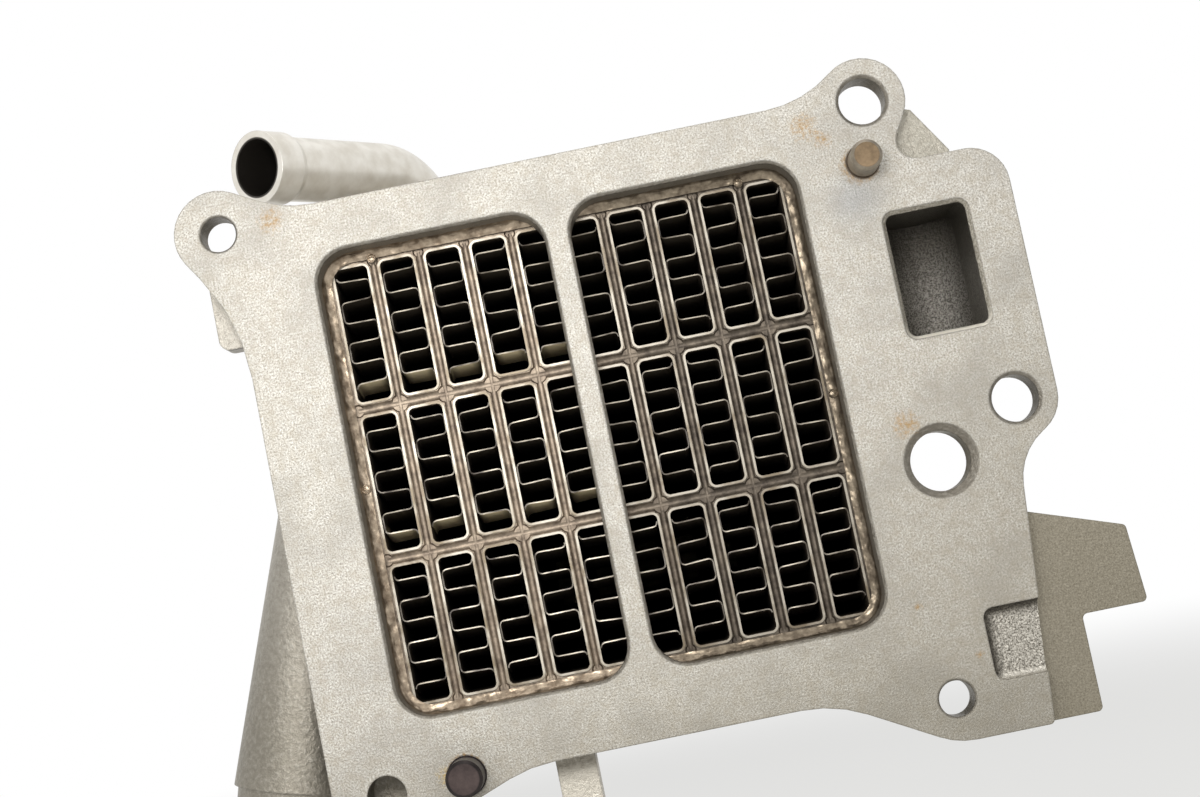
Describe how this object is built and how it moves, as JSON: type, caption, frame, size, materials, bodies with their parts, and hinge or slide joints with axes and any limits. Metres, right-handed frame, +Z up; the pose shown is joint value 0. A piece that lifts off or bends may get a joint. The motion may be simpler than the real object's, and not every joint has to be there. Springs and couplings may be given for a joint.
{
  "type": "exhaust gas recirculation cooler",
  "caption": "Cast cooler housing with a machined gasket flange and two gas windows onto flat finned tubes, a rear return tank, a coolant pipe and a tapered duct.",
  "frame": {"origin": "middle of the divider between the gas windows, on the gasket face", "axes": "-Y out of the gasket face towards the engine, +Y into the cooler, +X to the right seen from the engine, +Z up"},
  "size_m": [0.184, 0.1368, 0.1609],
  "materials": {
    "cast_housing": "cast, with a machined gasket face",
    "upper_pin_steel": "ground, lightly rusted",
    "lower_pin_steel": "ground, darkened",
    "pipe_steel": "satin",
    "gasket": "coated sheet",
    "header_steel": "brazed, heat tinted",
    "tube_steel": "brazed sheet",
    "fin_steel": "brazed sheet",
    "tank_steel": "pressed sheet",
    "screw_steel": "plated"
  },
  "bodies": {
    "root": {"housing": "cast_housing", "upper_dowel_pin": "upper_pin_steel", "lower_dowel_pin": "lower_pin_steel", "coolant_pipe": "pipe_steel", "front_gasket": "gasket", "front_header": "header_steel", "tube_1_1": "tube_steel", "tube_1_2": "tube_steel", "tube_1_3": "tube_steel", "tube_1_4": "tube_steel", "tube_1_5": "tube_steel", "tube_1_6": "tube_steel", "tube_1_7": "tube_steel", "tube_1_8": "tube_steel", "tube_1_9": "tube_steel", "tube_1_10": "tube_steel", "tube_2_1": "tube_steel", "tube_2_2": "tube_steel", "tube_2_3": "tube_steel", "tube_2_4": "tube_steel", "tube_2_5": "tube_steel", "tube_2_6": "tube_steel", "tube_2_7": "tube_steel", "tube_2_8": "tube_steel", "tube_2_9": "tube_steel", "tube_2_10": "tube_steel", "tube_3_1": "tube_steel", "tube_3_2": "tube_steel", "tube_3_3": "tube_steel", "tube_3_4": "tube_steel", "tube_3_5": "tube_steel", "tube_3_6": "tube_steel", "tube_3_7": "tube_steel", "tube_3_8": "tube_steel", "tube_3_9": "tube_steel", "tube_3_10": "tube_steel", "fins_row_1": "fin_steel", "fins_row_2": "fin_steel", "fins_row_3": "fin_steel", "support_plate": "header_steel", "rear_gasket": "gasket", "rear_header": "header_steel", "tank_gasket": "gasket", "return_tank": "tank_steel", "tank_screws": "screw_steel"}
  },
  "joints": []
}
